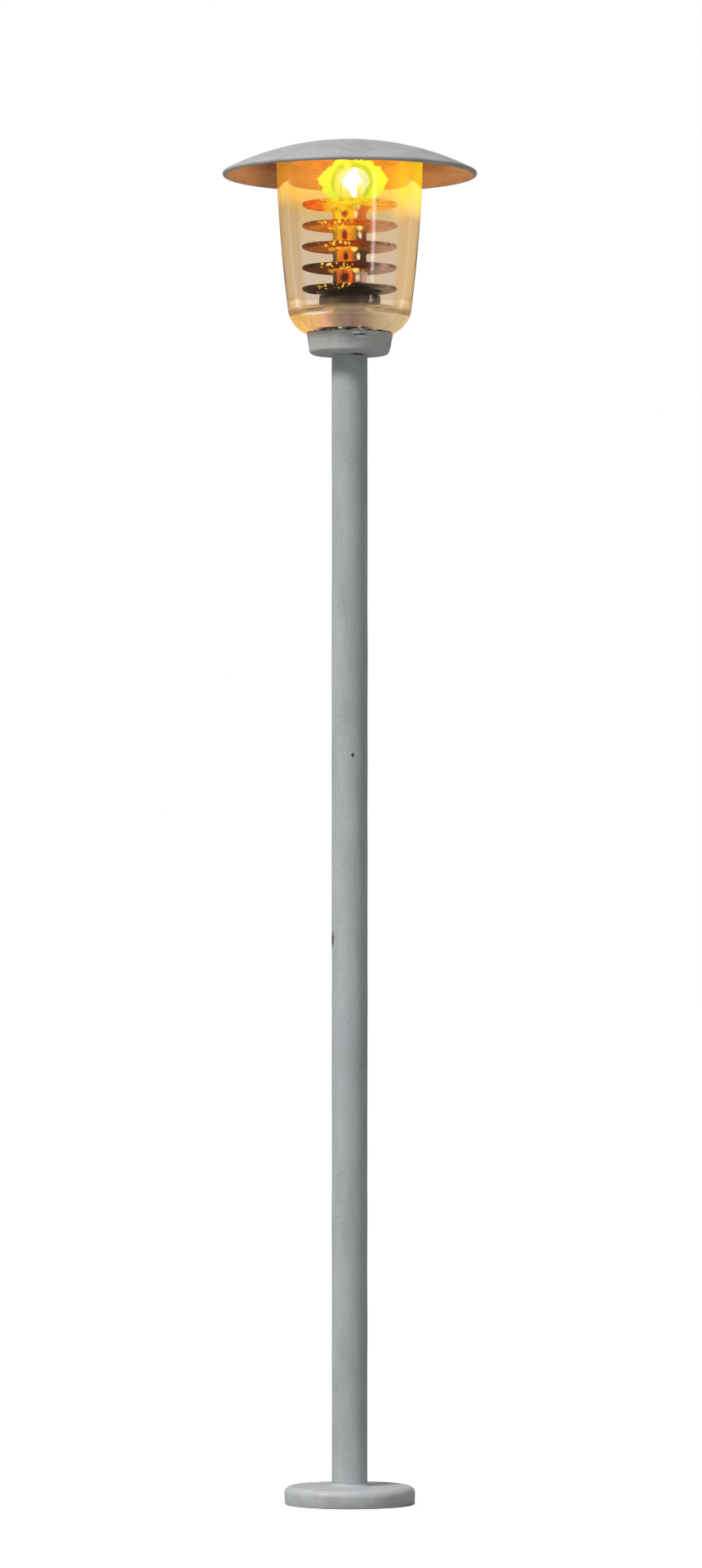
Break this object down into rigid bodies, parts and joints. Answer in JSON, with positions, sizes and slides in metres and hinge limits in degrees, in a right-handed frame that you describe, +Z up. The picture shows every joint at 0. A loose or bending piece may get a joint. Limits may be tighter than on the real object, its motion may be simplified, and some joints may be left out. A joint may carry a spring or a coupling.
{
  "type": "model park lamp on a mast",
  "caption": "Lit model park lamp: round foot, slim tubular mast and a clear tapered glass with a louvre stack around the bulb under a shallow domed roof.",
  "frame": {"origin": "centre of the underside of the round foot", "axes": "+Z up the mast, -Y towards the front, +Y towards the side with the pin holes"},
  "size_m": [0.0106, 0.0106, 0.057],
  "materials": {
    "post_enamel": "light grey enamel on brass, satin",
    "roof_enamel": "light grey enamel outside, bare bright underside",
    "clear_shade": "clear moulded plastic, polished, warm where the bulb lights it",
    "socket_grey": "grey moulded plastic",
    "glue": "squeezed-out bead of clear glue with grey paint on it",
    "smoked_louvre": "thin smoked brown plastic",
    "clear_spacer": "clear plastic glowing amber from the bulb",
    "bulb_glass": "clear thin glass",
    "tungsten": "coiled wire at white heat",
    "bulb_wire": "copper-clad wire",
    "solder": "dull tin solder",
    "sleeve_black": "black shrunk sleeve",
    "lead_copper": "bare copper",
    "lead_white": "white wire insulation",
    "lead_brown": "brown wire insulation"
  },
  "bodies": {
    "mast": {"foot_disc": "post_enamel", "mast_tube": "post_enamel", "collar": "post_enamel", "glue_bead": "glue", "glass_shade": "clear_shade", "bulb_socket": "socket_grey"},
    "bulb": {"bulb_envelope": "bulb_glass", "bulb_stem": "bulb_glass", "filament": "tungsten", "support_wire_left": "bulb_wire", "support_wire_right": "bulb_wire", "solder_joints": "solder", "insulating_sleeve": "sleeve_black", "lead_core_left": "lead_copper", "lead_core_right": "lead_copper", "lead_insulation_left": "lead_white", "lead_insulation_right": "lead_brown"},
    "louvre_stack": {"louvre_1": "smoked_louvre", "louvre_2": "smoked_louvre", "louvre_3": "smoked_louvre", "louvre_4": "smoked_louvre", "louvre_5": "smoked_louvre", "spacer_1": "clear_spacer", "spacer_2": "clear_spacer", "spacer_3": "clear_spacer", "spacer_4": "clear_spacer"},
    "roof": {"roof": "roof_enamel"}
  },
  "joints": [
    {"name": "bulb_pull", "type": "slide", "parent": "mast", "child": "bulb", "axis": [0, 0, 1], "range_m": [0, 0.009]},
    {"name": "louvre_pull", "type": "slide", "parent": "bulb", "child": "louvre_stack", "axis": [0, 0, 1], "range_m": [0, 0.007]},
    {"name": "roof_lift", "type": "slide", "parent": "louvre_stack", "child": "roof", "axis": [0, 0, 1], "range_m": [0, 0.006]}
  ]
}
